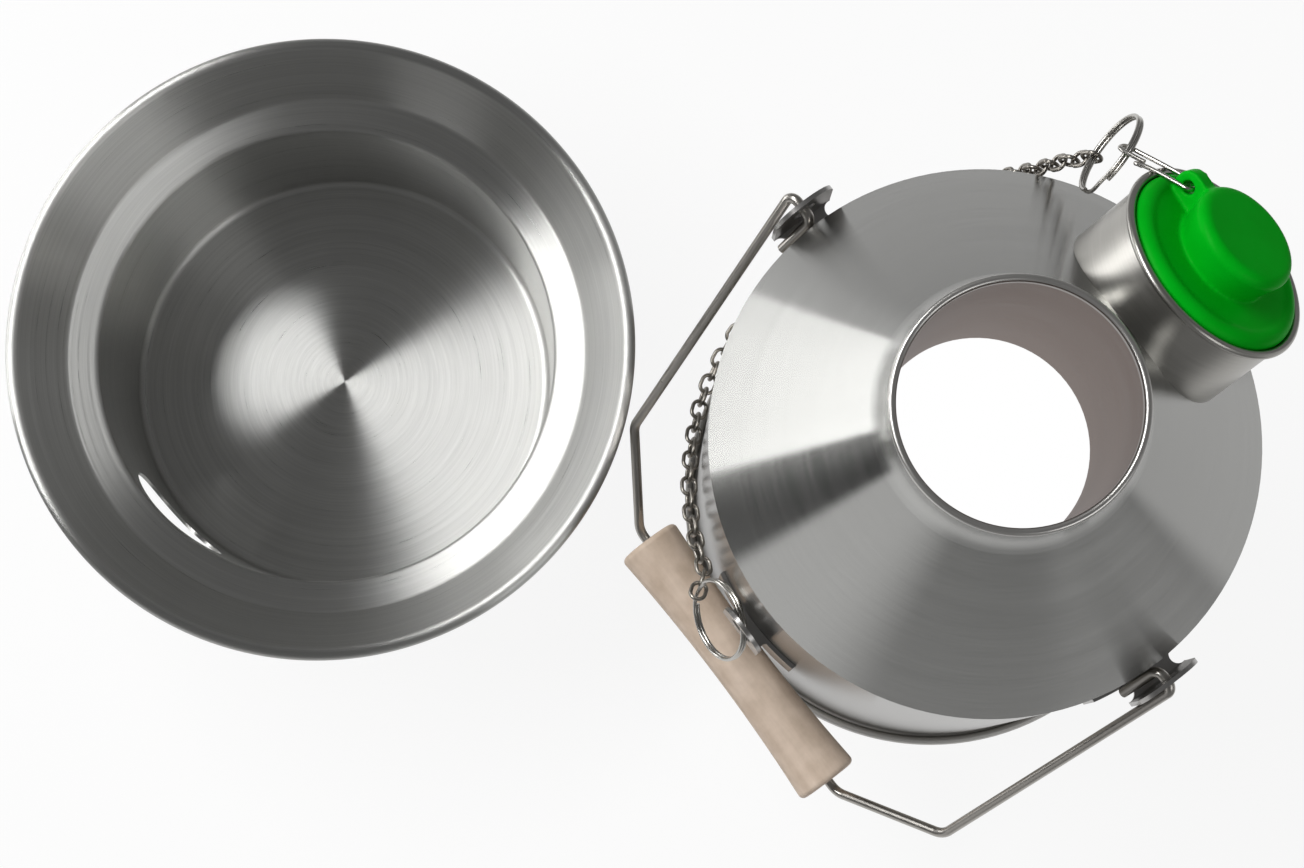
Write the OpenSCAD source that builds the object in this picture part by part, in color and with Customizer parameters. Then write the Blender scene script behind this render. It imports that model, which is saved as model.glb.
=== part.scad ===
// Storm kettle with its fire base standing beside it.
// Millimetres. The origin is on the floor on the kettle's axis, Z is up and the spout points to +X.
// The bail turns on two ears at +Y and -Y and rests against the back of the wall, at -X.

/* [Kettle shell] */

// Outer diameter of the straight wall
wall_d = 143; // [120:0.5:170]
// Height of the sharp shoulder above the floor
shoulder_z = 150; // [130:1:180]
// Height of the chimney's rim above the shoulder
chimney_rise = 69; // [55:1:90]
// Thickness of the kettle's sheet
sheet = 0.8; // [0.5:0.1:1.2]
// Radius of the blend between the cone and its neck
neck_fillet = 18; // [8:1:24]
// Straight neck left below the chimney's rim
neck_h = 6; // [4:0.5:10]
// Gap in a welded seam between two curved faces
seam = 0.05; // [0.02:0.01:0.1]

/* [Flue and foot] */

// Bore of the chimney
flue_bore = 58.4; // [48:0.2:62]
// Bead rolled round the chimney's mouth
chimney_bead = 2; // [1.6:0.1:3]
// Length of the straight flue
flue_len = 82; // [60:1:100]
// How much wider the fire cone's collar is than the flue, on the radius
collar_step = 0.3; // [0.2:0.05:0.5]
// Height of the fire cone's collar
collar_h = 3; // [2:0.5:6]
// Width of the flat foot between the wall and the fire mouth
foot_land = 7.5; // [5:0.1:16]
// Height of the straight part of the fire mouth
fire_mouth_h = 12; // [6:0.5:20]
// How far the rolled foot lip stands out from the wall
lip_out = 3.2; // [3:0.1:4.5]
// Bead of the rolled foot lip
lip_bead = 2.6; // [2:0.1:3]

/* [Spout] */

// Tilt of the spout from upright
spout_tilt = 43; // [35:0.5:50]
// Bore of the spout
spout_bore = 51; // [36:0.5:54]
// Radius on the cone where the spout's axis leaves it
spout_root_r = 51.3; // [48:0.1:56]
// Length of the spout's axis outside the cone
spout_len = 19.3; // [16:0.1:30]
// Bead rolled round the spout's mouth
spout_bead = 2.2; // [1.6:0.1:3]

/* [Ears] */

// Thickness of the ears' sheet
ear_t = 1.2; // [1:0.1:2]
// Width of an ear's upright tab
ear_w = 18.5; // [15:0.5:22]
// Hole in a bail ear
ear_hole = 7.2; // [6.6:0.1:8]
// Space between the wall and a bail ear's tab
ear_gap = 5; // [4.9:0.1:7]
// Height of the ears' holes over their shelves
ear_rise = 12; // [11:0.5:16]
// Width of the plate that is welded to the wall
plate_w = 33; // [26:0.5:40]
// Height of the plate that is welded to the wall
plate_h = 18; // [12:0.5:20]
// Narrow waist of the shelf between plate and tab
shelf_waist = 12.6; // [10:0.1:15]
// Depth of the bail's pivot below the shoulder
pivot_drop = 4; // [2:0.5:10]
// Space between the wall and the tipping ear's tab
tipping_gap = 4; // [3.5:0.1:6]
// Width of the tipping ear's tab
tipping_w = 15; // [13:0.5:18]
// Hole in the tipping ear
tipping_hole = 8; // [7.4:0.1:9]
// Depth of the tipping ear's hole below the shoulder
tipping_drop = 50; // [40:1:60]

/* [Bail and grip] */

// Diameter of the bail's wire
wire_d = 2.8; // [2.4:0.1:3.2]
// Distance from the pivot to the axis of the grip
bail_reach = 120.7; // [112:0.1:150]
// Distance from the pivot to the bends in the arms
bail_bend_at = 97; // [85:0.5:110]
// Width of the bail between its bends
bail_bend_w = 144; // [120:0.5:150]
// How far the bends of the slack bail hang to the -Y side
bail_lean = 6.5; // [0:0.1:7]
// How far the grip hangs to the -Y side
grip_lean = 4.9; // [0:0.1:7]
// Radius of the bends in the bail's arms and at its grip
bail_bend_r = 6; // [4:0.5:8]
// Straight wire between the grip and the corner beyond its end
knee_out = 4; // [3:0.5:6]
// Radius of the bends in the hooks
hook_r = 2.4; // [1.8:0.1:2.8]
// Length of the turned-back leg of each hook
leg_len = 14; // [10:0.5:15]
// Length of the grip
grip_len = 86; // [70:0.5:100]
// Diameter of the grip at its ends
grip_d = 18.6; // [16:0.1:22]
// Diameter of the grip at its waist
grip_waist = 15.4; // [13:0.1:16]
// Play between the bail's wire and the grip's bore, on the radius
grip_play = 0.1; // [0.05:0.01:0.1]
// Rounding of the grip's ends
grip_round = 1.6; // [1:0.1:4]
// Gap left between moving pieces and what they rest on
rest_gap = 0.4; // [0.3:0.05:0.8]

/* [Stopper] */

// Play between the plug and the spout's bore, on the radius
plug_play = 0.15; // [0.1:0.01:0.3]
// Depth of the plug in the spout
plug_len = 12; // [8:0.5:13]
// Bevel round the plug's inner end
plug_bevel = 1.5; // [1:0.1:2.5]
// Diameter of the knob
knob_d = 29.5; // [20:0.1:32]
// Diameter of the knob at its foot
knob_foot = 26; // [18:0.1:29]
// Height of the knob over the spout's mouth
knob_h = 13; // [10:0.5:18]
// Rounding of the knob's top edge
knob_round = 2.5; // [1.5:0.1:3.5]
// Roll round the stopper's edge
roll_d = 6; // [4:0.1:7]
// Height of the dished top over the spout's mouth
dish_z = 2.6; // [0:0.1:3]
// Twist of the stopper in the spout
stopper_turn = -10; // [-20:1:20]
// Thickness of the tongue
tongue_t = 4.4; // [3:0.1:4.6]
// Height of the tongue's rounded end
tongue_h = 8.4; // [6:0.1:10]
// Height of the tongue's hole over the spout's mouth
tongue_rise = 6.6; // [5.5:0.1:8]
// Distance of the tongue's hole from the stopper's axis
tongue_out = 18.2; // [17:0.1:20]
// Diameter of the tongue's hole
tongue_hole = 3.5; // [3:0.1:4.5]

/* [Chain, clip and rings] */

// Outer diameter of the split rings
ring_d = 23.6; // [22:0.1:25]
// Diameter of the split rings' wire
ring_wire = 1.1; // [1:0.05:1.2]
// Diameter of the clip's wire
clip_wire = 1.2; // [1:0.05:1.4]
// Room between the clip and the sides of the tongue
clip_room = 0.1; // [0.05:0.01:0.3]
// Distance from the tongue's hole to the ring in the clip
clip_reach = 20; // [16:0.5:24]
// Length of a chain link
link_len = 6.6; // [6.2:0.1:8]
// Width of a chain link
link_w = 5.2; // [4.9:0.1:6]
// Diameter of the links' wire
link_wire = 1.1; // [1:0.05:1.2]
// Slack between neighbouring links
link_slack = 0.15; // [0.12:0.01:0.3]
// Links that follow the stopper
upper_links = 14; // [8:1:18]
// Links that follow the tipping ring
lower_links = 12; // [8:1:16]

/* [Fire base] */

// Diameter over the rolled rim
base_d = 180; // [160:0.5:200]
// Height of the rim's bead above the floor
base_rim_z = 71.4; // [64:0.1:80]
// Bead of the rolled rim
base_bead = 4; // [3:0.1:5]
// Room between the kettle's foot lip and the seat's wall, on the radius
seat_play = 0.7; // [0.4:0.1:2]
// Height of the seat's outer edge above the floor
seat_z = 57.2; // [50:0.1:62]
// Fall of the seat toward the bowl
seat_fall = 1.8; // [0:0.1:3]
// Width of the seat that carries the kettle's foot
seat_w = 9.1; // [6:0.1:12]
// How much narrower the bowl is at its floor than at its throat, on the radius
bowl_taper = 2.7; // [1:0.1:5]
// Corner radius between the bowl's floor and wall
bowl_corner = 6; // [3:0.5:10]
// Thickness of the base's sheet
base_sheet = 0.9; // [0.6:0.1:1.2]
// Diameter of the draught hole
vent_d = 34; // [26:0.5:36]
// Height of the draught hole's centre
vent_z = 35.5; // [26:0.5:37]
// Direction that the draught hole faces
vent_bearing = 188; // [0:1:359]
// Space between the base's rim and the nearest bend of the bail's wire
base_gap = 1.3; // [1:0.1:60]
// Direction of the base from that bend
base_bearing = 128.5; // [120:0.1:140]

/* [Hidden] */

$fn = 96;

wall_r = wall_d / 2;
chimney_z = shoulder_z + chimney_rise;
flue_r = flue_bore / 2;
flue_seam_z = chimney_z - flue_len;
collar_r = flue_r + collar_step;
fire_mouth_r = wall_r - foot_land;
lip_r = wall_r + lip_out;

// The cone runs from the shoulder as a tangent to the neck's blend.
neck_r = flue_r + sheet + seam + sheet;
neck_z = chimney_z - neck_h;
blend_at = [neck_r + neck_fillet, neck_z];
blend_off = [wall_r - blend_at.x, blend_at.y - shoulder_z];
cone_angle = atan2(blend_off.y, blend_off.x) - asin(neck_fillet / norm(blend_off));

spout_r = spout_bore / 2;
spout_axis = [sin(spout_tilt), 0, cos(spout_tilt)];
spout_root = [spout_root_r, 0, shoulder_z + (wall_r - spout_root_r) * tan(cone_angle)];
spout_mouth = spout_root + spout_len * spout_axis;
spout_tail = 20;

pivot_z = shoulder_z - pivot_drop;
tab_r = wall_r + ear_gap;
arm_y = tab_r + ear_t + rest_gap + wire_d / 2;
leg_y = wall_r + rest_gap + wire_d / 2;
grip_x = wall_r + rest_gap + grip_waist / 2;
bail_rest = asin(grip_x / bail_reach);
knee_y = grip_len / 2 + knee_out;

// An arm that leans in over its ear starts far enough out to clear the corners of the ear's tab.
arm_share = norm([ear_w / 2, ear_rise + ear_t]) / bail_bend_at;
arm_left_y = arm_start(bail_bend_w / 2 - bail_lean);
arm_right_y = arm_start(bail_bend_w / 2 + bail_lean);

plug_r = spout_r - plug_play;
spout_side = [cos(spout_tilt), 0, -sin(spout_tilt)];
tongue_way = [0, cos(stopper_turn), 0] - sin(stopper_turn) * spout_side;
tongue_eye = spout_mouth + tongue_rise * spout_axis + tongue_out * tongue_way;

// The clip droops from the tongue and the stopper's ring hangs in it, nearly upright.
clip_droop = 29;
clip_way = cos(clip_droop) * tongue_way - sin(clip_droop) * spout_axis;
clip_w = tongue_t + 2 * (clip_room + clip_wire);
ring_r = (ring_d - ring_wire) / 2;
ring_pitch = ring_wire * 0.9;
stopper_ring_tilt = 74;
stopper_ring_turn = 111;
stopper_ring_top = tongue_eye + clip_reach * clip_way;
stopper_ring_at = stopper_ring_top - ring_r * ring_rise(stopper_ring_tilt, stopper_ring_turn);
stopper_ring_foot = stopper_ring_at - ring_r * ring_rise(stopper_ring_tilt, stopper_ring_turn);

// The tipping ring hangs from the third ear and lies back toward the chain.
tipping_ring_tilt = 61;
tipping_ring_turn = 162;
tipping_ring_slew = 60;
tipping_ring_tie = 35;
eye_off = 0.5;
tipping_eye = [-(wall_r + tipping_gap + ear_t / 2), -eye_off, shoulder_z - tipping_drop];
tipping_ring_at = tipping_eye + ring_r * (cos(tipping_ring_slew) * ring_side(tipping_ring_turn)
    - sin(tipping_ring_slew) * ring_rise(tipping_ring_tilt, tipping_ring_turn));
tipping_ring_end = tipping_ring_at + ring_r * (cos(tipping_ring_tie) * ring_side(tipping_ring_turn)
    - sin(tipping_ring_tie) * ring_rise(tipping_ring_tilt, tipping_ring_turn));

// Way of the chain round the back of the wall: bearing, distance from the wall, height from the shoulder.
chain_way = [[38, 3.6, 3], [41, 3.1, -6], [47, 3, -22], [54, 3, -37], [62, 3, -50], [71, 3, -62],
    [81, 3, -73], [91, 3, -80], [101, 3, -85], [111, 3, -88], [121, 3, -88], [130, 3, -85],
    [141, 3.2, -79], [147, 3.6, -76], [153.5, 3.9, -73], [160, 4.4, -70], [164.5, 4.8, -68]];
chain_route = [stopper_ring_foot, each [for (p = chain_way) around(p[0], wall_r + p[1], shoulder_z + p[2])],
    tipping_ring_end];
chain_steps = 480;
chain_last = len(chain_route) - 1;
chain_dots = [for (k = [0 : chain_steps]) spline(chain_route, k / chain_steps * chain_last)];
chain_table = [for (k = 0, s = 0; k <= chain_steps;
    s = s + (k < chain_steps ? norm(chain_dots[k + 1] - chain_dots[k]) : 0), k = k + 1)
    [s, k / chain_steps * chain_last]];
chain_len = chain_table[chain_steps][0];
link_inside = link_len - 2 * link_wire;
link_bow = link_w / 2 - link_wire;
ring_half = (ring_pitch + ring_wire) / 2;
ring_nip = link_bow - sqrt(link_bow * link_bow - ring_half * ring_half);
chain_end = link_inside / 2 - ring_wire / 2 - ring_nip - 3 * link_slack;
link_count = ceil((chain_len - 2 * chain_end) / (link_inside - link_slack)) + 1;
link_pitch = (chain_len - 2 * chain_end) / (link_count - 1);

// Both end links lie across the ring that they hold, and the chain twists evenly in between.
chain_turn = link_turn(0, ring_side(stopper_ring_turn));
chain_tie = sin(tipping_ring_tie) * ring_side(tipping_ring_turn)
    + cos(tipping_ring_tie) * ring_rise(tipping_ring_tilt, tipping_ring_turn);
chain_wind = link_turn(chain_len, chain_tie) - chain_turn - 90 * (link_count - 1);
chain_twist = chain_wind - 180 * round(chain_wind / 180);

seat_r = lip_r + seat_play;
throat_r = seat_r - seat_w;
bowl_r = throat_r - bowl_taper;
base_bead_r = base_bead / 2;
rim_r = base_d / 2 - base_bead_r;

// The base stands beside the resting bail, just clear of the bend in its left arm.
bend_at = [-bail_bend_at * sin(bail_rest), bail_bend_w / 2 - bail_lean, 0];
base_at = bend_at + around(base_bearing, base_d / 2 + wire_d / 2 + base_gap, 0);

// Cuts run on past the faces that they open.
over = 1;

// Straight runs of wire reach a little into the bends and are a hair thinner, so that both join cleanly.
weld_in = 0.2;
weld_step = 0.02;

// Place of an arm at its pivot, from its place at the bend
function arm_start(bend_y) = max(arm_y, (arm_y - arm_share * bend_y) / (1 - arm_share));

// Point at a bearing, a radius and a height
function around(bearing, r, z) = [r * cos(bearing), r * sin(bearing), z];

// Level direction in the plane of a ring, and the steepest one
function ring_side(turn) = [sin(turn), -cos(turn), 0];
function ring_rise(tilt, turn) = [-cos(tilt) * cos(turn), -cos(tilt) * sin(turn), sin(tilt)];

// Vector of length one
function unit(v) = v / norm(v);

// Angle that a wire turns through at b on its way from a to c
function turn_at(a, b, c) = acos(unit(b - a) * unit(c - b));

// Smooth curve through a list of points, t counting them from 0
function spline(p, t) =
    let (i = min(floor(t), len(p) - 2), f = t - i)
    let (a = p[max(i - 1, 0)], b = p[i], c = p[i + 1], d = p[min(i + 2, len(p) - 1)])
    (2 * b + (c - a) * f + (2 * a - 5 * b + 4 * c - d) * f * f + (3 * b - a - 3 * c + d) * f * f * f) / 2;

// Point of the chain at a distance s along it
function chain_point(s) = spline(chain_route, lookup(s, chain_table));

// Direction of the chain at a distance s along it, and the way out from the kettle square to it
function chain_dir(s) = unit(chain_point(min(s + 0.5, chain_len)) - chain_point(max(s - 0.5, 0)));
function chain_out(s) =
    let (p = chain_point(s), t = chain_dir(s), out = unit([p.x, p.y, 0]))
    unit(out - (out * t) * t);

// Turn of a link whose flat side faces along an axis
function link_turn(s, axis) = atan2(axis * cross(chain_dir(s), chain_out(s)), axis * chain_out(s));

// Round bar from a to b
module rod(a, b, d) {
    v = b - a;
    translate(a)
        rotate([0, acos(v.z / norm(v)), atan2(v.y, v.x)])
        cylinder(h = norm(v), d = d);
}

// Bend of a round bar at b, on its way from a to c
module elbow(a, b, c, d, r) {
    u = unit(b - a);
    n = unit(cross(u, unit(c - b)));
    s = cross(n, u);
    turn = turn_at(a, b, c);
    m = b - u * r * tan(turn / 2) + s * r;
    multmatrix([[-s.x, u.x, n.x, m.x], [-s.y, u.y, n.y, m.y], [-s.z, u.z, n.z, m.z], [0, 0, 0, 1]])
        rotate_extrude(angle = turn)
        translate([r, 0])
        circle(d = d);
}

// Round bar bent at each inner point of a list, with a bend radius for each
module bent_wire(p, radii, d) {
    last = len(p) - 1;
    back = [for (i = [0 : last])
        i == 0 || i == last ? 0 : radii[i - 1] * tan(turn_at(p[i - 1], p[i], p[i + 1]) / 2)];
    for (i = [0 : last - 1]) {
        u = unit(p[i + 1] - p[i]);
        from = i == 0 ? 0 : back[i] - weld_in;
        to = i == last - 1 ? 0 : back[i + 1] - weld_in;
        rod(p[i] + u * from, p[i + 1] - u * to, d - weld_step);
    }
    for (i = [1 : last - 1])
        elbow(p[i - 1], p[i], p[i + 1], d, radii[i - 1]);
}

// Closed flat loop of round wire, its length along X
module wire_loop(length, width, d) {
    r = (width - d) / 2;
    run = length - width;
    for (side = [-1, 1]) {
        translate([side * run / 2, 0, 0])
            rotate([0, 0, side > 0 ? -90 : 90])
            rotate_extrude(angle = 180)
            translate([r, 0])
            circle(d = d);
        translate([-run / 2, side * r, 0])
            rotate([0, 90, 0])
            cylinder(h = run, d = d);
    }
}

// Split ring: two turns of wire bedded side by side
module split_ring() {
    rotate_extrude()
        for (side = [-1, 1])
            translate([ring_r, side * ring_pitch / 2])
            circle(d = ring_wire);
}

// Links of the chain from one number to another
module chain_links(first, last) {
    for (i = [first : last]) {
        s = chain_end + i * link_pitch;
        p = chain_point(s);
        t = chain_dir(s);
        u = chain_out(s);
        v = cross(t, u);
        turn = chain_turn + 90 * i + chain_twist * i / (link_count - 1);
        n = cos(turn) * u + sin(turn) * v;
        b = cross(n, t);
        multmatrix([[t.x, b.x, n.x, p.x], [t.y, b.y, n.y, p.y], [t.z, b.z, n.z, p.z], [0, 0, 0, 1]])
            wire_loop(link_len, link_w, link_wire);
    }
}

// Section under the cone, its blend and its neck, taken in from the outside by a distance
module cone_section(inset, from_z) {
    blend = neck_fillet + inset;
    foot = wall_r - inset / sin(cone_angle);
    touch = blend_at - blend * [sin(cone_angle), cos(cone_angle)];
    difference() {
        polygon([[0, from_z], [foot, from_z], [foot, shoulder_z], touch, blend_at,
            [blend_at.x - blend, neck_z], [neck_r - inset, chimney_z - chimney_bead - seam],
            [0, chimney_z - chimney_bead - seam]]);
        translate(blend_at)
            circle(r = blend);
    }
}

// Ear of bent sheet: plate on the wall, waisted shelf and upright tab with a hole
module ear(hole_z, gap, hole, width) {
    shelf_z = hole_z - ear_rise;
    in_r = wall_r + seam;
    tab_x = wall_r + gap;
    scoop = (tab_x - in_r) / 2;
    difference() {
        intersection() {
            translate([0, 0, shelf_z - plate_h])
                cylinder(h = plate_h, r = in_r + ear_t);
            translate([0, -plate_w / 2, shelf_z - plate_h])
                cube([wall_d, plate_w, plate_h]);
        }
        cylinder(h = shoulder_z, r = in_r);
    }
    translate([0, 0, shelf_z - ear_t])
        linear_extrude(ear_t)
        difference() {
            translate([0, -width / 2])
                square([tab_x + ear_t, width]);
            circle(r = in_r);
            for (side = [-1, 1])
                translate([in_r + scoop, side * (shelf_waist / 2 + scoop)])
                circle(r = scoop);
        }
    translate([tab_x, 0, 0])
        difference() {
            union() {
                translate([0, -width / 2, shelf_z - ear_t])
                    cube([ear_t, width, ear_rise + ear_t]);
                translate([0, 0, hole_z])
                    rotate([0, 90, 0])
                    cylinder(h = ear_t, d = width);
            }
            translate([-over, 0, hole_z])
                rotate([0, 90, 0])
                cylinder(h = ear_t + 2 * over, d = hole);
        }
}

// Section of the fire base, grown outward by a distance
module base_section(grow) {
    corner = [bowl_r - bowl_corner, base_sheet + bowl_corner];
    translate(corner)
        circle(r = bowl_corner + grow);
    polygon([[0, base_sheet - grow], [corner.x, base_sheet - grow], corner, [bowl_r + grow, corner.y],
        [throat_r + grow, seat_z - seat_fall - grow], [seat_r + grow / 2, seat_z - grow],
        [rim_r + grow / 2, base_rim_z], [0, base_rim_z]]);
}

module outer_wall() {
    color("silver")
        translate([0, 0, sheet])
        difference() {
            cylinder(h = shoulder_z - sheet, r = wall_r);
            translate([0, 0, -over])
                cylinder(h = shoulder_z + 2 * over, r = wall_r - sheet);
        }
}

module shoulder_cone() {
    color("gainsboro")
        difference() {
            rotate_extrude()
                difference() {
                    cone_section(0, shoulder_z);
                    cone_section(sheet, shoulder_z - 1);
                    square([neck_r - sheet, chimney_z]);
                }
            translate(spout_mouth)
                rotate([0, spout_tilt, 0])
                translate([0, 0, -spout_len - spout_tail])
                cylinder(h = spout_len + spout_tail, r = spout_r);
        }
}

module flue_tube() {
    color("rosybrown")
        rotate_extrude() {
            translate([flue_r, flue_seam_z])
                square([sheet, flue_len - chimney_bead / 2]);
            translate([flue_r + chimney_bead / 2, chimney_z - chimney_bead / 2])
                circle(d = chimney_bead);
        }
}

module fire_cone() {
    lip_at = lip_r - lip_bead / 2;
    color("dimgray")
        rotate_extrude() {
            polygon([[fire_mouth_r, 0], [lip_at, 0], [lip_at, sheet], [fire_mouth_r + sheet, sheet],
                [fire_mouth_r + sheet, fire_mouth_h], [collar_r + sheet, flue_seam_z - collar_h],
                [collar_r + sheet, flue_seam_z], [collar_r, flue_seam_z], [collar_r, flue_seam_z - collar_h],
                [fire_mouth_r, fire_mouth_h]]);
            translate([lip_at, lip_bead / 2])
                circle(d = lip_bead);
        }
}

module spout_tube() {
    color("lightgray")
        difference() {
            translate(spout_mouth)
                rotate([0, spout_tilt, 0])
                rotate_extrude() {
                    translate([spout_r, -spout_len - spout_tail])
                        square([sheet, spout_len + spout_tail]);
                    translate([spout_r + spout_bead / 2, 0])
                        circle(d = spout_bead);
                }
            rotate_extrude()
                cone_section(0, shoulder_z - 2 * spout_tail);
        }
}

module bail_ear_left() {
    color("slategray")
        rotate([0, 0, 90])
        ear(pivot_z, ear_gap, ear_hole, ear_w);
}

module bail_ear_right() {
    color("slategray")
        rotate([0, 0, -90])
        ear(pivot_z, ear_gap, ear_hole, ear_w);
}

module tipping_ear() {
    color("slategray")
        rotate([0, 0, 180])
        ear(shoulder_z - tipping_drop, tipping_gap, tipping_hole, tipping_w);
}

module bail_wire() {
    bend_y = bail_bend_w / 2;
    color("lightsteelblue")
        translate([0, 0, pivot_z])
        rotate([0, bail_rest, 0])
        bent_wire([[0, leg_y, -leg_len], [0, leg_y, 0], [0, arm_left_y, 0],
            [0, bend_y - bail_lean, -bail_bend_at], [0, knee_y - grip_lean, -bail_reach],
            [0, -knee_y - grip_lean, -bail_reach], [0, -bend_y - bail_lean, -bail_bend_at],
            [0, -arm_right_y, 0], [0, -leg_y, 0], [0, -leg_y, -leg_len]],
            [hook_r, hook_r, bail_bend_r, bail_bend_r, bail_bend_r, bail_bend_r, hook_r, hook_r], wire_d);
}

module grip() {
    half = grip_len / 2;
    dip = (grip_d - grip_waist) / 2;
    run = half - grip_round;
    sweep = (run * run + dip * dip) / (2 * dip);
    color("burlywood")
        translate([0, 0, pivot_z])
        rotate([0, bail_rest, 0])
        translate([0, -grip_lean, -bail_reach])
        rotate([90, 0, 0])
        rotate_extrude()
        difference() {
            union() {
                translate([0, -run])
                    square([grip_d / 2, 2 * run]);
                translate([0, -half])
                    square([grip_d / 2 - grip_round, grip_len]);
                for (side = [-1, 1])
                    translate([grip_d / 2 - grip_round, side * run])
                    circle(r = grip_round);
            }
            translate([grip_d / 2 - dip + sweep, 0])
                circle(r = sweep, $fn = 720);
            translate([0, -half - over])
                square([wire_d / 2 + grip_play, grip_len + 2 * over]);
        }
}

module stopper() {
    roll = roll_d / 2;
    knob_r = knob_d / 2;
    color("limegreen")
        translate(spout_mouth)
        rotate([0, spout_tilt, 0])
        rotate([0, 0, stopper_turn]) {
            rotate_extrude() {
                polygon([[0, -plug_len], [plug_r - plug_bevel, -plug_len], [plug_r, plug_bevel - plug_len],
                    [plug_r, 0], [plug_r - roll, dish_z], [0, dish_z]]);
                translate([plug_r - roll, 0])
                    circle(r = roll);
                polygon([[0, 0], [knob_foot / 2, 0], [knob_foot / 2, dish_z], [knob_r, knob_h - knob_round],
                    [knob_r - knob_round, knob_h - knob_round], [knob_r - knob_round, knob_h], [0, knob_h]]);
                translate([knob_r - knob_round, knob_h - knob_round])
                    circle(r = knob_round);
            }
            translate([-tongue_t / 2, 0, tongue_rise])
                rotate([90, 0, 90])
                linear_extrude(tongue_t)
                difference() {
                    union() {
                        translate([0, -tongue_h / 2])
                            square([tongue_out, tongue_h]);
                        translate([tongue_out, 0])
                            circle(d = tongue_h);
                    }
                    translate([tongue_out, 0])
                        circle(d = tongue_hole);
                }
        }
}

module stopper_clip() {
    back = clip_wire * 0.4;
    past = ring_half + clip_wire / 2 + link_slack;
    t = clip_way;
    b = unit(cross(clip_way, tongue_way));
    n = cross(t, b);
    p = tongue_eye + (clip_reach + past - back) / 2 * clip_way;
    color("white")
        multmatrix([[t.x, b.x, n.x, p.x], [t.y, b.y, n.y, p.y], [t.z, b.z, n.z, p.z], [0, 0, 0, 1]])
        wire_loop(back + clip_reach + past + clip_wire, clip_w, clip_wire);
}

module stopper_ring() {
    color("white")
        translate(stopper_ring_at)
        rotate([0, stopper_ring_tilt, stopper_ring_turn])
        split_ring();
}

module chain_upper() {
    color("lightgray")
        chain_links(0, upper_links - 1);
}

module chain_back() {
    color("gray")
        chain_links(upper_links, link_count - lower_links - 1);
}

module chain_lower() {
    color("lightgray")
        chain_links(link_count - lower_links, link_count - 1);
}

module tipping_ring() {
    color("white")
        translate(tipping_ring_at)
        rotate([0, tipping_ring_tilt, tipping_ring_turn])
        split_ring();
}

module fire_base() {
    color("silver")
        translate(base_at)
        difference() {
            rotate_extrude() {
                difference() {
                    base_section(base_sheet);
                    base_section(0);
                }
                translate([rim_r, base_rim_z])
                    circle(r = base_bead_r);
            }
            rotate([0, 0, vent_bearing])
                translate([0, 0, vent_z])
                rotate([0, 90, 0])
                cylinder(h = base_d, d = vent_d);
        }
}

outer_wall();
shoulder_cone();
flue_tube();
fire_cone();
spout_tube();
bail_ear_left();
bail_ear_right();
tipping_ear();
bail_wire();
grip();
stopper();
stopper_clip();
stopper_ring();
chain_upper();
chain_back();
chain_lower();
tipping_ring();
fire_base();
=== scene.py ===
# %% [markdown]
# # A storm kettle and its fire base
# This lesson dresses a finished construction model. The kettle is a stainless water jacket with a
# flue through its middle, and its fire base stands beside it. The construction gives every piece its
# size and its place, so the work here is finish: brushed steel, bright wire, bare wood and moulded
# silicone, and a few pieces whose real form is softer or finer than the construction needs.

# %% Load the construction
import math

import bpy
from mathutils import Matrix, Vector


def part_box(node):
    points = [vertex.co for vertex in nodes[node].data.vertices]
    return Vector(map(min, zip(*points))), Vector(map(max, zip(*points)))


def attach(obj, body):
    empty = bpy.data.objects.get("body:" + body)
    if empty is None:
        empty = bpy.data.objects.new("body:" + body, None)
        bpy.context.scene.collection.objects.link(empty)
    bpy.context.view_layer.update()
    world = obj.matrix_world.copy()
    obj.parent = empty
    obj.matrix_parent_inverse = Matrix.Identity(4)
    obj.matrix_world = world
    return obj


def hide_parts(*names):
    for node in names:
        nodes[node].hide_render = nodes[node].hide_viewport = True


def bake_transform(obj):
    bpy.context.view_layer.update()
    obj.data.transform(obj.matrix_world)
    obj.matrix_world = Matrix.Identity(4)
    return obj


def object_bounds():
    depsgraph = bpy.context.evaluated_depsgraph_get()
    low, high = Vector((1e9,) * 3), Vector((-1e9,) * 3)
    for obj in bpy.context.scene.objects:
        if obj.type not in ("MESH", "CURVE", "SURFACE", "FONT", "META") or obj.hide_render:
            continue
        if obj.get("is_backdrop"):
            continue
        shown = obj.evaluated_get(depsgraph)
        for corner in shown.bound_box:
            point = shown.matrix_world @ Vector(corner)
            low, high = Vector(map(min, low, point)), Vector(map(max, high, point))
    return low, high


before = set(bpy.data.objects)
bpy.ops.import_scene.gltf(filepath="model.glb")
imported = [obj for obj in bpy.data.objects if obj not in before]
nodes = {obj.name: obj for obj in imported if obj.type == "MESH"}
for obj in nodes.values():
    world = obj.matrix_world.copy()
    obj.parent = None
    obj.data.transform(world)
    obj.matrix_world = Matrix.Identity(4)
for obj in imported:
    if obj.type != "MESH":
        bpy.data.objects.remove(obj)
cad_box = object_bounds()
MM = 0.001
print("pieces from the construction:", len(nodes))

# %% [markdown]
# ## Camera
# The picture is taken almost straight down from a little under a metre. A long lens keeps both round
# rims close to circles. The camera's place and its two picture directions are written out as vectors,
# and the matrix is built from them, because that is easier to check than three angles.

# %% Camera
CAMERA_AT = Vector((-129.47, -20.88, 890.69)) * MM
PICTURE_RIGHT = Vector((0.7997, -0.6004, 0.0068))
PICTURE_UP = Vector((0.5947, 0.7936, 0.1287))
LENS_MM = 80
SENSOR_MM = 36
NEAREST = 0.01

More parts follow.
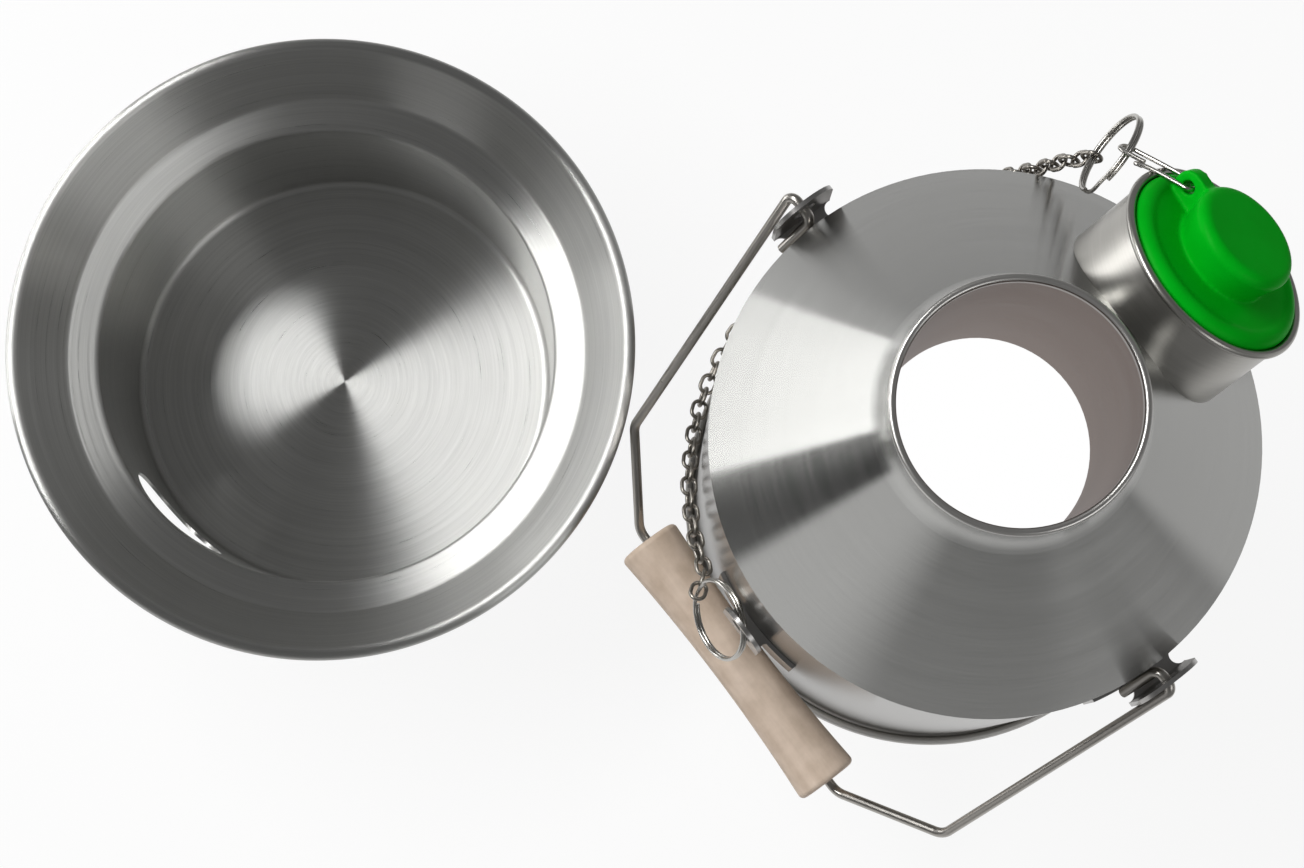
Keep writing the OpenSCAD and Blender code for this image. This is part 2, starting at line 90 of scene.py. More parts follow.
bpy.ops.object.select_all(action="DESELECT")
bpy.ops.object.camera_add(location=CAMERA_AT)
camera = bpy.context.object
camera.data.lens = LENS_MM
camera.data.sensor_width = SENSOR_MM
camera.data.clip_start = NEAREST
right = PICTURE_RIGHT.normalized()
up = (PICTURE_UP - right * PICTURE_UP.dot(right)).normalized()
turned = Matrix((right, up, right.cross(up))).transposed().to_4x4()
camera.matrix_world = Matrix.Translation(CAMERA_AT) @ turned
bpy.context.scene.camera = camera
bpy.context.scene.view_settings.view_transform = "Standard"
print("camera height:", round(CAMERA_AT.z, 3))

# %% [markdown]
# ## Shader maths in Python
# Node trees are easier to read as formulas. `Flow` wraps one output socket. Arithmetic on it adds Math
# nodes, and its `node` method adds any other node: settings go in first, then the sockets' values or
# links. The nodes that come up most have a short method of their own.


# %% A socket that can do sums
def plug(tree, value, socket):
    if isinstance(value, Flow):
        tree.links.new(value.socket, socket)
    else:
        socket.default_value = value


class Flow:
    """A value on its way through a material's nodes."""

    def __init__(self, tree, socket):
        self.tree = tree
        self.socket = socket

    def node(self, kind, settings=None, inputs=None, output=0):
        made = self.tree.nodes.new("ShaderNode" + kind)
        for name, value in (settings or {}).items():
            setattr(made, name, value)
        for name, value in (inputs or {}).items():
            plug(self.tree, value, made.inputs[name])
        return Flow(self.tree, made.outputs[output])

    def math(self, operation, a, b):
        return self.node("Math", {"operation": operation}, {0: a, 1: b})

    def __add__(self, other):
        return self.math("ADD", self, other)

    __radd__ = __add__

    def __sub__(self, other):
        return self.math("SUBTRACT", self, other)

    def __rsub__(self, other):
        return self.math("SUBTRACT", other, self)

    def __mul__(self, other):
        return self.math("MULTIPLY", self, other)

    __rmul__ = __mul__

    def vector(self, operation, other=None, output=0):
        """Vector maths on this vector. Output 1 is a plain number, such as a length."""
        inputs = {0: self} if other is None else {0: self, 1: other}
        return self.node("VectorMath", {"operation": operation}, inputs, output)

    def mix(self, low, high):
        """Colour between low and high, by this value."""
        return self.node("Mix", {"data_type": "RGBA"}, {0: self, 6: low, 7: high}, output=2)

    def spread(self, low, high):
        """This value with low to high pulled out to zero to one."""
        return self.node("MapRange", None, {"Value": self, "From Min": low, "From Max": high})

    def ease(self, low, high, first=0.0, last=1.0):
        """This value with low to high pulled out to first to last, with soft ends."""
        ends = {"Value": self, "From Min": low, "From Max": high, "To Min": first, "To Max": last}
        return self.node("MapRange", {"interpolation_type": "SMOOTHSTEP"}, ends)

    def noise(self, scale, detail, roughness):
        """Noise by this vector."""
        inputs = {"Vector": self, "Scale": scale, "Detail": detail, "Roughness": roughness}
        return self.node("TexNoise", None, inputs)

    def bump(self, strength, distance):
        """A normal that follows this value up and down."""
        inputs = {"Strength": strength, "Distance": distance, "Height": self}
        return self.node("Bump", None, inputs)


print("a Flow can add, subtract, multiply, mix, spread, ease, make noise and bump")


# %% A finish and its shader
def grey(value):
    return (value, value, value, 1.0)


def new_finish(name, **constants):
    """A material with its shader's fixed values set.

    Gives the material, its shader and Object coordinates.
    """
    material = bpy.data.materials.new(name)
    material.use_nodes = True
    tree = material.node_tree
    shader = tree.nodes["Principled BSDF"]
    for socket, value in constants.items():
        shader.inputs[socket.replace("_", " ")].default_value = value
    place = Flow(tree, tree.nodes.new("ShaderNodeTexCoord").outputs["Object"])
    return material, shader, place


def feed(shader, **flows):
    for socket, flow in flows.items():
        plug(shader.id_data, flow, shader.inputs[socket.replace("_", " ")])


print("shader helpers ready")

# %% [markdown]
# ## Studio
# Polished and brushed metal shows its surroundings, so the studio is most of the picture. The room is
# dark. One long soft lamp stands beside the table, with a low strip under it and a weak lamp across
# from it. The long lamp draws the bright fans on everything that was brushed on a lathe, and a dark
# gap beside the strip gives the cone its one dark wedge. A table lit until it is white would burn out
# the steel, so most of what the eye sees of this one is an even glow of its own, and the rest keeps
# the shadows. Mirrors see another table: white under the pieces, grey further out, with two lighter
# lanes and the dark gap.

# %% Table
KETTLE_AXIS = Vector((0.0, 0.0, 0.0))
LEVEL = (1.0, 1.0, 0.0)
TABLE_AT = Vector((-0.055, 0.068, 0.0))
TABLE_R, TABLE_SIDES = 3.0, 96
# Painted light on the table: a near-white pool under the pieces that fades to painted shade further out.
LIGHT_POOL_R, FADE_R = 0.26, 0.54
PAPER, PAINTED_FAR_SHADE = 0.92, 0.22
EYE_GLOW = 0.9
GLOW, FAR_GLOW = 0.78, 0.13
# Painted light: within this reach of the kettle's axis the table shows no shadow at all.
FLUE_SPOT_R = 0.066
GAP = {"bearing": 155, "inner": 8, "outer": 13}
GAP_FROM, GAP_TONE = 0.33, 0.02
LEFT_LANE = {"bearing": 172, "inner": 10, "outer": 42}
RIGHT_LANE = {"bearing": -38, "inner": 17, "outer": 25}
LEFT_GLOW, RIGHT_GLOW = 0.87, 0.47
RAYS = ("Is Camera Ray", "Is Glossy Ray", "Is Transmission Ray")


def near(place, at, inner, outer):
    """One close to a point on the table, and zero beyond."""
    return place.vector("DISTANCE", at, output=1).ease(inner, outer, 1.0, 0.0)


def gap(way, bearing, inner, outer):
    """One along a bearing in degrees, and zero beyond some degrees to its sides."""
    turn = math.radians(bearing)
    toward = (math.cos(turn), math.sin(turn), 0.0)
    level = way.vector("MULTIPLY", LEVEL).vector("NORMALIZE")
    facing = level.vector("DOT_PRODUCT", toward, output=1)
    return facing.ease(math.cos(math.radians(outer)), math.cos(math.radians(inner)))


def make_paper():
    material, shader, place = new_finish("table_paper", Roughness=0.9, Specular_IOR_Level=0.1)
    # The table's colour and its mirrored glow are near white under the pieces and grey further out: a
    # painted pool of light, with painted shade far away.
    painted_light_pool = near(place, TABLE_AT, LIGHT_POOL_R, FADE_R)
    feed(shader, Base_Color=painted_light_pool.mix(grey(PAINTED_FAR_SHADE), grey(PAPER)))
    dark = gap(place, **GAP) * (1.0 - near(place, KETTLE_AXIS, GAP_FROM, 1.2 * GAP_FROM))
    far = gap(place, **LEFT_LANE) * LEFT_GLOW + gap(place, **RIGHT_LANE) * RIGHT_GLOW + FAR_GLOW
    mirrored = place.math("MAXIMUM", painted_light_pool * (GLOW - far) + far, dark)
    # Under the kettle the table glows fully to the eye and through glass, painted light that keeps the
    # kettle's shadow out of the view down the flue.
    painted_light_under_kettle = near(place, KETTLE_AXIS, 0.9 * FLUE_SPOT_R, FLUE_SPOT_R)
    plain = place.math("MAXIMUM", painted_light_under_kettle, EYE_GLOW)
    eye, mirror, glass = [place.node("LightPath", output=ray) for ray in RAYS]
    share = place.math("MINIMUM", eye * plain + mirror * mirrored + glass * plain, 1.0)
    tone = (mirror * dark).mix(grey(1.0), grey(GAP_TONE))
    glow = place.node("Emission", inputs={"Color": tone, "Strength": 1.0})
    lit = Flow(place.tree, shader.outputs[0])
    surface = place.node("MixShader", inputs={0: share, 1: lit, 2: glow})
    plug(place.tree, surface, place.tree.nodes["Material Output"].inputs["Surface"])
    return material


def make_table():
    bpy.ops.object.select_all(action="DESELECT")
    bpy.ops.mesh.primitive_circle_add(vertices=TABLE_SIDES, radius=TABLE_R, fill_type="NGON")
    table = bpy.context.object
    table.name = "table"
    table.data.materials.append(make_paper())
    table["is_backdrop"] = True
    return table


table = make_table()
print("made the", table.name, "with radius", TABLE_R)

# %% Lamps
LAMPS = {
    "long_lamp": {"bearing": 119.7, "away": 0.69, "height": 0.96, "size": (0.96, 0.18), "watts": 9.2},
    "low_lamp": {"bearing": 122, "away": 0.65, "height": 0.08, "size": (0.58, 0.14), "watts": 1.3},
    "weak_lamp": {"bearing": -80, "away": 0.9, "height": 0.78, "size": (0.6, 0.4), "watts": 1.4},
}


def make_lamp(name, bearing, away, height, size, watts):
    """A soft lamp at a bearing in degrees, aimed at the table."""
    turn = math.radians(bearing)
    place = TABLE_AT + Vector((away * math.cos(turn), away * math.sin(turn), height))
    bpy.ops.object.light_add(type="AREA", location=place)
    lamp = bpy.context.object
    lamp.name = name
    lamp.data.shape = "RECTANGLE"
    lamp.data.size, lamp.data.size_y = size
    lamp.data.energy = watts
    lamp.visible_camera = False
    lamp.rotation_euler = (TABLE_AT - place).to_track_quat("-Z", "Y").to_euler()


for name, setting in LAMPS.items():
    make_lamp(name, **setting)
print("lamps:", *LAMPS)

# %% Room
CEILING, WALLS, ROOM_GAP = 0.15, 0.28, 0.03
WALL_FADE = (0.12, 0.5)


def make_room():
    """Grey walls under a dark ceiling, with one dark gap."""
    room = bpy.data.worlds.new("room")
    room.use_nodes = True
    tree = room.node_tree
    way = Flow(tree, tree.nodes.new("ShaderNodeTexCoord").outputs["Generated"])
    height = way.node("SeparateXYZ", None, {0: way}, output=2)
    shade = height.ease(*WALL_FADE, 1.0, 0.0).mix(grey(CEILING), grey(WALLS))
    tone = gap(way, **GAP).mix(shade, grey(ROOM_GAP))
    plug(tree, tone, tree.nodes["Background"].inputs["Color"])
    bpy.context.scene.world = room


make_room()
print("room made, with walls of", WALLS, "and a ceiling of", CEILING)

# %% [markdown]
# ## Brushed steel
# Spun sheet is brushed round its axis, so its scratches are circles. Noise is read in polar form: fast
# across the radius and up the axis, slow round the bearing. The shader's own anisotropy stretches the
# highlights across the scratches and gives the fans.

# %% Strokes round an axis
BEARING_SCALE = 2.5
FINE_NOISE = (1.0, 3.0, 0.65)
WIDE_NOISE = (0.27, 2.0, 0.5)
CLOUD_NOISE = (22.0, 3.0, 0.6)
CONTRAST = (0.3, 0.7)


def polar(place, axis):
    """Distance from an upright axis, height, and the bearing as a vector."""
    middle = place.node("Mapping", None, {"Vector": place, "Location": (-axis.x, -axis.y, 0.0)})
    flat = middle.vector("MULTIPLY", LEVEL)
    reach = flat.vector("LENGTH", output=1)
    around = flat.vector("NORMALIZE")
    height = middle.node("SeparateXYZ", None, {0: middle}, output=2)
    return reach, height, around


def strokes(across, bearing, lines):
    """Fine and wide strokes: fast along one distance, slow along a bearing."""
    east, north = [bearing.node("SeparateXYZ", None, {0: bearing}, output=k) for k in (0, 1)]
    inputs = {0: across * lines, 1: east * BEARING_SCALE, 2: north * BEARING_SCALE}
    groove = across.node("CombineXYZ", None, inputs)
    fine = groove.noise(*FINE_NOISE).spread(*CONTRAST)
    wide = groove.noise(*WIDE_NOISE).spread(*CONTRAST)
    return fine, wide


def stroke_tone(place, fine, wide):
    return fine * 0.4 + wide * 0.4 + place.noise(*CLOUD_NOISE) * 0.2


def shades(colour, streak):
    dark = [(1 - streak) * c for c in colour]
    light = [min(1.0, (1 + streak) * c) for c in colour]
    return (*dark, 1.0), (*light, 1.0)


print("darkest and lightest stroke of a mid grey:", *shades((0.5, 0.5, 0.5), 0.1))

# %% Steel brushed round an axis
STROKE_HEIGHT = 0.4 * MM
base_low, base_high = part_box("fire_base")
BASE_AXIS = (base_low + base_high) / 2


def brush(shader, place, fine, wide, colour, roughness, streak, depth):
    """Feed a shader from its strokes.

    streak is how far they change the tone, and depth the bump's strength.
    """
    tone = stroke_tone(place, fine, wide)
    feed(shader, Base_Color=tone.mix(*shades(colour, streak)))
    feed(shader, Roughness=tone * (0.7 * streak) + (roughness - 0.35 * streak))
    feed(shader, Normal=fine.bump(depth, STROKE_HEIGHT))


def brushed_round(name, axis, lines, anisotropy, edge=1.0, **stroke):
    """lines is how many strokes cross a metre, and edge the brightness at a grazing look."""
    material, shader, place = new_finish(
        name, Metallic=1.0, Anisotropic=anisotropy, Anisotropic_Rotation=0.25, Specular_Tint=grey(edge)
    )
    reach, height, around = polar(place, axis)
    fine, wide = strokes(reach + height, around, lines)
    brush(shader, place, fine, wide, **stroke)
    return material


cone_steel = brushed_round(
    "cone_steel_finish", KETTLE_AXIS, lines=2800.0, anisotropy=1.0,
    colour=(0.5, 0.5, 0.485), roughness=0.23, streak=0.08, depth=0.03,
)
wall_steel = brushed_round(
    "wall_steel_finish", KETTLE_AXIS, lines=1500.0, anisotropy=0.3, edge=0.7,
    colour=(0.42, 0.405, 0.38), roughness=0.17, streak=0.05, depth=0.01,
)
base_steel = brushed_round(
    "base_steel_finish", BASE_AXIS, lines=4000.0, anisotropy=1.0,
    colour=(0.5, 0.5, 0.485), roughness=0.31, streak=0.16, depth=0.04,
)
print("brushed finishes:", cone_steel.name, wall_steel.name, base_steel.name)

# %% [markdown]
# ## Spout and flue
# The spout was brushed round its own slanted axis, so its strokes are read along that axis. Inside, the
# flue and the fire chamber are dull drawn steel that heat has turned a little pink, while the bead at
# the chimney's mouth was polished and the lip of the foot was left satin. One material holds all three:
# a mask by height and one by radius pick the tone and the roughness.

# %% Spout finish
SPOUT_WAY = Vector((0.682, 0.0, 0.7314))
SPOUT_MOUTH = Vector((64.46, 0.0, 192.5)) * MM
SPOUT_LINES = 1800.0


def make_spout_steel():
    material, shader, place = new_finish("spout_steel_finish", Metallic=1.0)
    from_mouth = place.vector("SUBTRACT", SPOUT_MOUTH)
    along = from_mouth.vector("DOT_PRODUCT", SPOUT_WAY, output=1)
    fine, wide = strokes(along, from_mouth.vector("NORMALIZE"), SPOUT_LINES)
    steel = {"colour": (0.41, 0.4, 0.375), "roughness": 0.32, "streak": 0.12, "depth": 0.012}
    brush(shader, place, fine, wide, **steel)
    return material


spout_steel = make_spout_steel()
print("spout finish:", spout_steel.name)

# %% Flue finish
HEAT_PINK = (0.43, 0.36, 0.33)
BEAD_STEEL = (0.58, 0.57, 0.55)
FLUE_LINES = 900.0
FLUE_EDGE = 0.7
MOUTH_HEIGHT = (0.2160, 0.2168)
FOOT_REACH = (0.066, 0.068)
DULL, POLISHED, SATIN = 0.37, 0.1, 0.15


def make_flue_steel():
    material, shader, place = new_finish(
        "flue_steel_finish", Metallic=1.0, Specular_Tint=grey(FLUE_EDGE)
    )
    reach, height, around = polar(place, KETTLE_AXIS)
    fine, wide = strokes(reach + height, around, FLUE_LINES)
    tone = stroke_tone(place, fine, wide)
    mouth, foot = height.spread(*MOUTH_HEIGHT), reach.spread(*FOOT_REACH)
    outside = place.math("MAXIMUM", mouth, foot)
    pink, steel = tone.mix(*shades(HEAT_PINK, 0.1)), tone.mix(*shades(BEAD_STEEL, 0.05))
    feed(shader, Base_Color=outside.mix(pink, steel))
    feed(shader, Roughness=tone * 0.08 - mouth * POLISHED + foot * SATIN + DULL)
    return material


flue_steel = make_flue_steel()
print("flue finish:", flue_steel.name)

# %% [markdown]
# ## Wire, sheet, wood and silicone
# The ears are bent from satin sheet, and the bail, the rings, the clip and the chain are drawn wire.
# None of them was brushed on a lathe, so an even speck of noise in tone and roughness is enough. The
# grip is bare wood turned on its own axis, and its grain runs along it, so the noise is stretched that
# way. The stopper is matt silicone: a deep even green with almost no shine.


# %% Plain drawn steel for ears and wire
def drawn_steel(name, colour, roughness, grain):
    material, shader, place = new_finish(name, Metallic=1.0)
    speck = place.noise(grain, 3.0, 0.6)
    dark = [0.8 * c for c in colour]
    feed(shader, Base_Color=speck.mix((*dark, 1.0), (*colour, 1.0)))
    feed(shader, Roughness=speck * 0.1 + (roughness - 0.05))
    feed(shader, Normal=speck.bump(0.02, 0.2 * MM))
    return material


ear_steel = drawn_steel("ear_steel_finish", (0.44, 0.43, 0.42), roughness=0.3, grain=250.0)
wire_steel = drawn_steel("bail_wire_finish", (0.46, 0.44, 0.41), roughness=0.3, grain=250.0)
bright_wire = drawn_steel("bright_wire_finish", (0.55, 0.535, 0.505), roughness=0.24, grain=300.0)
chain_steel = drawn_steel("chain_steel_finish", (0.33, 0.31, 0.28), roughness=0.32, grain=300.0)
print("drawn finishes:", ear_steel.name, wire_steel.name, bright_wire.name, chain_steel.name)

# %% Bare turned wood
WOOD_DARK, WOOD_LIGHT = (0.58, 0.45, 0.34, 1.0), (0.92, 0.76, 0.63, 1.0)
GRAIN_SCALE = (260.0, 26.0, 260.0)


def turned_wood(name):
    material, shader, place = new_finish(name, Specular_IOR_Level=0.3)
    along = place.node("Mapping", None, {"Vector": place, "Scale": GRAIN_SCALE})
    grain = along.noise(1.0, 4.0, 0.6)
    broad = along.noise(0.12, 2.0, 0.5)
    mottle = place.noise(130.0, 3.0, 0.6)
    lines = grain.spread(0.3, 0.7) * 0.35 + broad.spread(0.3, 0.7) * 0.3
    tone = lines + mottle.spread(0.35, 0.65) * 0.35
    feed(shader, Base_Color=tone.mix(WOOD_DARK, WOOD_LIGHT), Roughness=grain * 0.2 + 0.45)
    feed(shader, Normal=grain.bump(0.15, 0.4 * MM))
    return material


grip_wood = turned_wood("grip_wood_finish")
print("wood:", grip_wood.name)

# %% Moulded silicone
GREEN_DARK, GREEN_LIGHT = (0.0, 0.43, 0.008, 1.0), (0.0, 0.57, 0.016, 1.0)


def moulded_silicone(name):
    material, shader, place = new_finish(name, Specular_IOR_Level=0.05)
    cloud = place.noise(90.0, 3.0, 0.55)
    fine = place.noise(2200.0, 2.0, 0.5)
    feed(shader, Base_Color=cloud.mix(GREEN_DARK, GREEN_LIGHT), Roughness=fine * 0.14 + 0.36)
    feed(shader, Normal=fine.bump(0.06, 0.2 * MM))
    return material


green_silicone = moulded_silicone("green_silicone_finish")
print("silicone:", green_silicone.name)

# %% [markdown]
# ## Fire base
# The base is one disc of thin steel, spun over a form on a lathe: a flat floor, a round corner, a steep
# bowl, a seat for the kettle's foot, a flared collar and a rim rolled outward into a bead. A lathe is
# copied best by spinning a line: its corners get small arcs, the spin makes the sheet's middle,
# Solidify gives it its thickness, and the draught hole is cut last.

# %% A line with round corners
ARC_STEPS = 6


def rounded(corners, radii):
    """A line through corners with an arc in place of each inner one. Pairs of (radius, height)."""
    line = [Vector(corners[0])]
    for before, corner, after, radius in zip(corners, corners[1:], corners[2:], radii):
        before, corner, after = Vector(before), Vector(corner), Vector(after)
        back, on = (before - corner).normalized(), (after - corner).normalized()
        half = back.angle(on) / 2
        middle = corner + (back + on).normalized() * radius / math.sin(half)
        first = corner + back * radius / math.tan(half) - middle
        last = corner + on * radius / math.tan(half) - middle
        turn = first.angle_signed(last)
        for k in range(ARC_STEPS + 1):
            angle = -turn * k / ARC_STEPS
            line.append(middle + Matrix.Rotation(angle, 2) @ first)
    line.append(Vector(corners[-1]))
    return line


print("points on a line with one bend:", len(rounded([(0, 0), (9, 0), (9, 9)], [2])))

# %% Spin a line into a piece
SPIN_STEPS = 224
WELD = 1e-6


def spun(name, line):
    """The line, in millimetres from the axis and up it, spun round Z."""
    bpy.ops.object.select_all(action="DESELECT")
    bpy.ops.mesh.primitive_plane_add(size=MM)
    piece = bpy.context.object
    piece.name = name
    bpy.ops.object.mode_set(mode="EDIT")
    bpy.ops.mesh.select_all(action="SELECT")
    bpy.ops.mesh.merge(type="CENTER")
    here = Vector((0.0, 0.0))
    for k, there in enumerate(line):
        step = {"value": ((there.x - here.x) * MM, 0.0, (there.y - here.y) * MM)}
        if k == 0:
            bpy.ops.transform.translate(**step)
        else:
            bpy.ops.mesh.extrude_region_move(TRANSFORM_OT_translate=step)
        here = there
    bpy.ops.mesh.select_all(action="SELECT")
    bpy.ops.mesh.spin(steps=SPIN_STEPS, angle=math.tau, center=(0, 0, 0), axis=(0, 0, 1))
    bpy.ops.mesh.select_all(action="SELECT")
    bpy.ops.mesh.remove_doubles(threshold=WELD)
    bpy.ops.mesh.normals_make_consistent(inside=False)
    bpy.ops.object.mode_set(mode="OBJECT")
    return piece


print("a spin takes", SPIN_STEPS, "steps")


# %% Tools for one piece
def pick(piece):
    bpy.ops.object.select_all(action="DESELECT")
    piece.select_set(True)
    bpy.context.view_layer.objects.active = piece


def apply_modifier(piece, kind, **settings):
    modifier = piece.modifiers.new(kind.lower(), kind)
    for name, value in settings.items():
        setattr(modifier, name, value)
    pick(piece)
    bpy.ops.object.modifier_apply(modifier=modifier.name)


def finish_piece(piece, finish, body, replaced):
    """Give a piece its finish, hide the construction piece it replaces, and attach it to its body if it
    has one.
    """
    piece.data.materials.clear()
    piece.data.materials.append(finish)
    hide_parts(replaced)
    if body:
        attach(piece, body)


print("tools ready: pick, apply_modifier, finish_piece")

# %% Fire base
BASE_SHEET = 0.9
FLOOR_R = 64.05
THROAT = (66.75, 54.95)
SEAT_CORNER = (75.7, 56.75)
BEND_RADII = (3.2, 1.2, 2.4)
RIM_R, RIM_Z, RIM_BEAD = 88.0, 71.4, 4.0
CURL_DEGREES, CURL_STEPS = 310, 26
VENT_R, VENT_Z, VENT_BEARING = 17.0, 35.5, 188.0
VENT_REACH, VENT_LENGTH, VENT_SIDES = 0.065, 0.08, 72
SHARP_DEGREES = 35


def base_line():
    """The middle of the base's sheet, from the floor's centre to the end of the curled rim."""
    half = BASE_SHEET / 2
    curl_r = RIM_BEAD / 2 - half
    rim, seat = Vector((RIM_R, RIM_Z)), Vector(SEAT_CORNER)
    rise = math.atan2(rim.y - seat.y, rim.x - seat.x) + math.asin(curl_r / (rim - seat).length)
    begin = rise + math.pi / 2
    turns = [begin - math.radians(CURL_DEGREES) * k / CURL_STEPS for k in range(CURL_STEPS + 1)]
    curl = [rim + curl_r * Vector((math.cos(t), math.sin(t))) for t in turns]
    corners = [(0.0, half), (FLOOR_R, half), THROAT, SEAT_CORNER, tuple(curl[0])]
    return rounded(corners, BEND_RADII) + curl[1:]


def cut_vent(base):
    turn = math.radians(VENT_BEARING)
    bpy.ops.object.select_all(action="DESELECT")
    bpy.ops.mesh.primitive_cylinder_add(
        vertices=VENT_SIDES, radius=VENT_R * MM, depth=VENT_LENGTH,
        location=(VENT_REACH * math.cos(turn), VENT_REACH * math.sin(turn), VENT_Z * MM),
        rotation=(0.0, math.pi / 2, turn),
    )
    cutter = bpy.context.object
    apply_modifier(base, "BOOLEAN", object=cutter, operation="DIFFERENCE", solver="EXACT")
    bpy.data.objects.remove(cutter)


def make_fire_base():
    base = spun("fire_base_spun", base_line())
    apply_modifier(base, "SOLIDIFY", thickness=BASE_SHEET * MM, offset=0.0, use_even_offset=True)
    cut_vent(base)
    pick(base)
    base.location = (BASE_AXIS.x, BASE_AXIS.y, 0.0)
    bpy.ops.object.transform_apply(location=True, rotation=True, scale=True)
    bpy.ops.object.shade_smooth_by_angle(angle=math.radians(SHARP_DEGREES))
    finish_piece(base, base_steel, "fire_base", "fire_base")
    return base


fire_base = make_fire_base()
print("fire base faces:", len(fire_base.data.polygons))

# %% [markdown]
# ## Stopper
# The stopper is moulded silicone, so no edge on it is sharp and its knob and tongue grow out of the
# disc in small fillets. Bevelling every meeting by hand is slow. A fine voxel remesh of the
# construction's shape, smoothed a little, rounds all of them at once, as a mould does.

# %% Moulded stopper
VOXEL = 0.45 * MM
SMOOTH_ROUNDS = 7


def merged_copy(name, node):
    """A copy of a construction piece, with its doubled points merged."""
    piece = bpy.data.objects.new(name, nodes[node].data.copy())
    bpy.context.collection.objects.link(piece)
    pick(piece)
    bpy.ops.object.mode_set(mode="EDIT")
    bpy.ops.mesh.select_all(action="SELECT")
    bpy.ops.mesh.remove_doubles(threshold=WELD)
    bpy.ops.object.mode_set(mode="OBJECT")
    return piece


def make_stopper():
    stopper = merged_copy("stopper_moulded", "stopper")
    apply_modifier(stopper, "REMESH", mode="VOXEL", voxel_size=VOXEL)
    apply_modifier(stopper, "SMOOTH", factor=0.5, iterations=SMOOTH_ROUNDS)
    bpy.ops.object.shade_smooth()
    finish_piece(stopper, green_silicone, "stopper", "stopper")
    return stopper


stopper = make_stopper()
print("stopper faces:", len(stopper.data.polygons))

# %% [markdown]
# ## Rings and clip
# The two rings are split rings: one wire wound twice, with a short step where it changes turns. The
# clip is a bent wire that closes like a safety pin, with a small eye round the ring. Both are wires on
# a curved way, so each is a path with a round section, made a mesh at the end.

# %% Bend a wire
WIRE_STEPS = 3
WIRE_ROUNDNESS = 5


def bent_wire(name, way, thick, order):
    """A wire of some thickness, in metres, on a list of points. A higher order bends more softly."""
    bpy.ops.object.select_all(action="DESELECT")
    bpy.ops.curve.primitive_nurbs_path_add()
    wire = bpy.context.object
    wire.name = name
    wire.data.splines.clear()
    spline = wire.data.splines.new("NURBS")
    spline.points.add(len(way) - 1)
    for point, at in zip(spline.points, way):
        point.co = (*at, 1.0)
    spline.use_endpoint_u = True
    spline.order_u = order
    spline.resolution_u = WIRE_STEPS
    wire.data.bevel_depth = thick / 2
    wire.data.bevel_resolution = WIRE_ROUNDNESS
    wire.data.use_fill_caps = True
    bpy.ops.object.convert(target="MESH")
    wire = bpy.context.object
    bpy.ops.object.shade_smooth()
    return wire


print("steps between two points of a wire:", WIRE_STEPS)

# %% Split rings
RING_R = 11.25 * MM
RING_WIRE = 1.1 * MM
RING_STEP = 0.99 * MM
STEP_HALF = 20
POINT_EVERY = 6
DOWN = Vector((0, 0, -1))


def ring_way(middle, normal, split_at):
    """Points on two turns. split_at is the bearing of the step, in degrees from the lowest point."""
    normal = Vector(normal).normalized()
    down = (DOWN - normal * normal.dot(DOWN)).normalized()
    side = normal.cross(down)
    way = []
    for t in range(STEP_HALF + 4, 720 - STEP_HALF - 3, POINT_EVERY):
        share = min(1.0, max(0.0, (t - 360 + STEP_HALF) / (2 * STEP_HALF)))
        lift = (share * share * (3 - 2 * share) - 0.5) * RING_STEP
        turn = math.radians(t + split_at)
        out = down * math.cos(turn) + side * math.sin(turn)
        way.append(Vector(middle) * MM + out * RING_R + normal * lift)
    return way


def make_split_ring(name, node, body, **ring):
    wire = bent_wire(name, ring_way(**ring), RING_WIRE, order=4)
    finish_piece(wire, bright_wire, body, node)
    return wire


stopper_ring = make_split_ring(
    "stopper_split_ring", "stopper_ring", "stopper",
    middle=(65.77, 38.04, 175.2), normal=(-0.3445, 0.8974, 0.2756), split_at=110,
)
tipping_ring = make_split_ring(
    "tipping_split_ring", "tipping_ring", "tipping_ring",
    middle=(-78.85, 6.31, 91.48), normal=(-0.8318, 0.2703, 0.4848), split_at=300,
)
print("ring faces:", len(stopper_ring.data.polygons), len(tipping_ring.data.polygons))

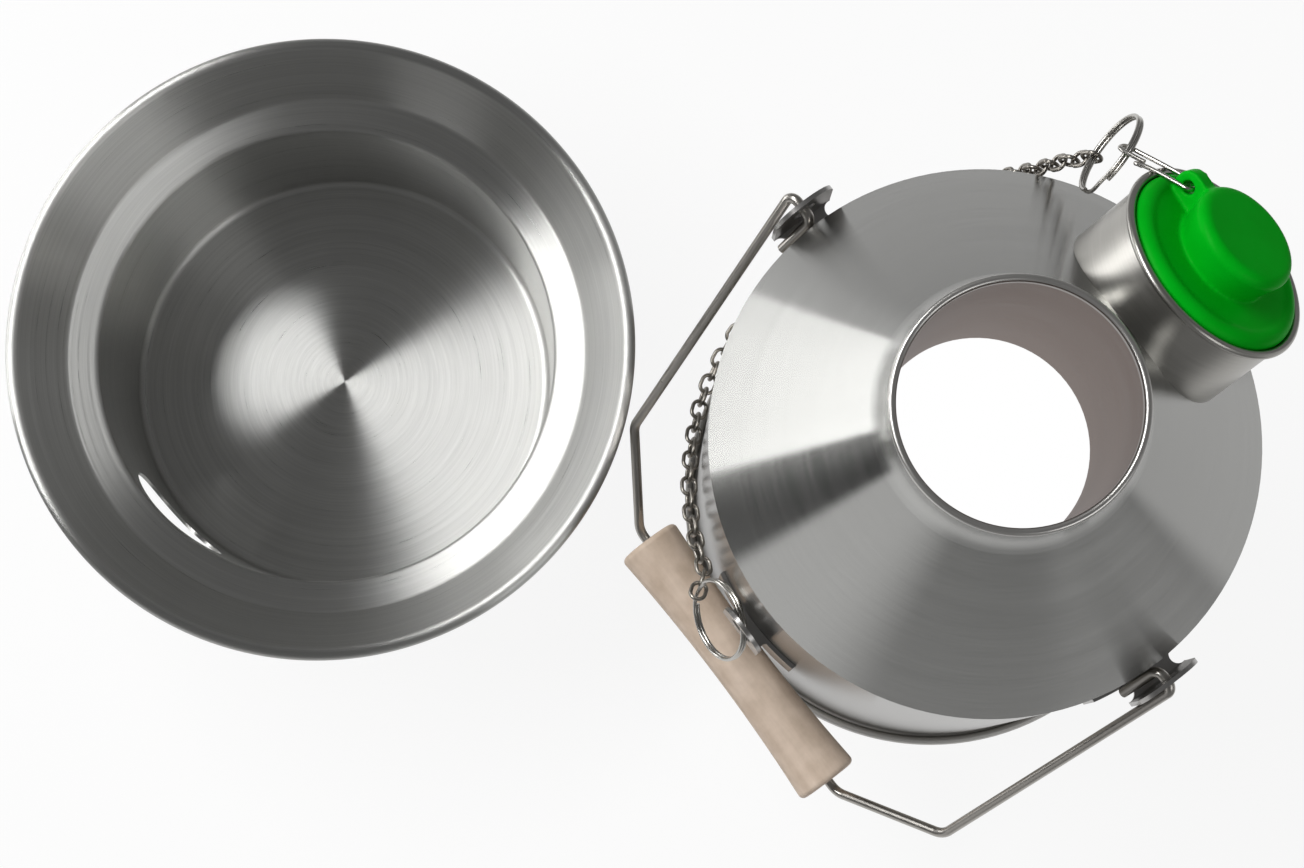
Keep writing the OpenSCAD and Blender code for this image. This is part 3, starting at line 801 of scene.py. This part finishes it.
# %% Clip
TONGUE_EYE = Vector((71.27, 17.92, 195.17))
CLIP_WAY = Vector((-0.2196, 0.8615, -0.4581))
TONGUE_SIDE = Vector((0.7203, -0.1736, -0.6716))
CLIP_WIRE = 1.2
CLIP_BENDS = (
    (14.2, -1.3, 1.3), (15.5, -1.5, 1.3), (15.9, -2.6, 1.1), (14.2, -3.0, 0.5), (11.5, -2.95, 0.1),
    (6.0, -2.95, 0.0), (1.6, -2.95, 0.0), (-0.4, -2.9, 0.0), (-1.1, -1.8, 0.0), (-1.15, 0.0, 0.0),
    (-1.1, 1.8, 0.0), (-0.4, 2.9, 0.0), (1.6, 2.95, 0.0), (6.0, 2.95, 0.0), (12.0, 2.7, 0.0),
    (17.0, 2.2, 0.0), (20.3, 2.0, 0.0), (21.9, 1.6, 0.0), (22.4, 0.0, 0.0), (21.9, -1.6, 0.0),
    (20.0, -2.1, -0.1), (17.0, -2.2, -0.2), (13.6, -2.2, -0.3),
)


def make_clip():
    """The bends are millimetres along the clip, across the tongue and up from both."""
    lift = CLIP_WAY.cross(TONGUE_SIDE).normalized()
    way = [(TONGUE_EYE + CLIP_WAY * a + TONGUE_SIDE * b + lift * c) * MM for a, b, c in CLIP_BENDS]
    clip = bent_wire("stopper_wire_clip", way, CLIP_WIRE * MM, order=3)
    finish_piece(clip, bright_wire, "stopper", "stopper_clip")
    return clip


clip = make_clip()
print("clip faces:", len(clip.data.polygons))

# %% [markdown]
# ## Chain
# The chain's links are welded ovals of round wire, and the construction already has them to size. Its
# two ends follow the stopper and the tipping ring while its middle stays with the kettle. Here the ends
# are copies of the construction's links, with their points merged and shaded smooth.


def make_chain_end(name, node):
    chain = merged_copy(name, node)
    bpy.ops.object.shade_smooth()
    finish_piece(chain, chain_steel, None, node)
    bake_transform(chain)
    return chain


chain_upper = make_chain_end(
    "chain_upper_links", "chain_upper",
)
chain_lower = make_chain_end(
    "chain_lower_links", "chain_lower",
)
print("ends that follow:", chain_upper.name, chain_lower.name)

# %% [markdown]
# ## Dress and finish
# Wall, cone, flue, spout, ears, bail, grip and the chain's middle are already right in the construction,
# so they only take their finishes. The last cell measures the construction's box and the dressed model's
# box and prints the largest change between them: a finish must not change the size of the object.


# %% Dress the construction's own pieces
def dress(finish, *names):
    for name in names:
        nodes[name].data.materials.clear()
        nodes[name].data.materials.append(finish)


dress(wall_steel, "outer_wall")
dress(spout_steel, "spout_tube")
dress(cone_steel, "shoulder_cone")
dress(flue_steel, "flue_tube", "fire_cone")
dress(ear_steel, "bail_ear_left", "bail_ear_right", "tipping_ear")
dress(wire_steel, "bail_wire")
dress(grip_wood, "grip")
dress(chain_steel, "chain_back")
print("construction pieces dressed")

# %% The two boxes and their largest change
visual_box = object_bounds()
boxes = {"cad": [list(corner) for corner in cad_box], "visual": [list(corner) for corner in visual_box]}
changes = [abs(a - b) for pair in zip(boxes["cad"], boxes["visual"]) for a, b in zip(*pair)]
print("largest change of the box, in mm:", round(max(changes) / MM, 3))
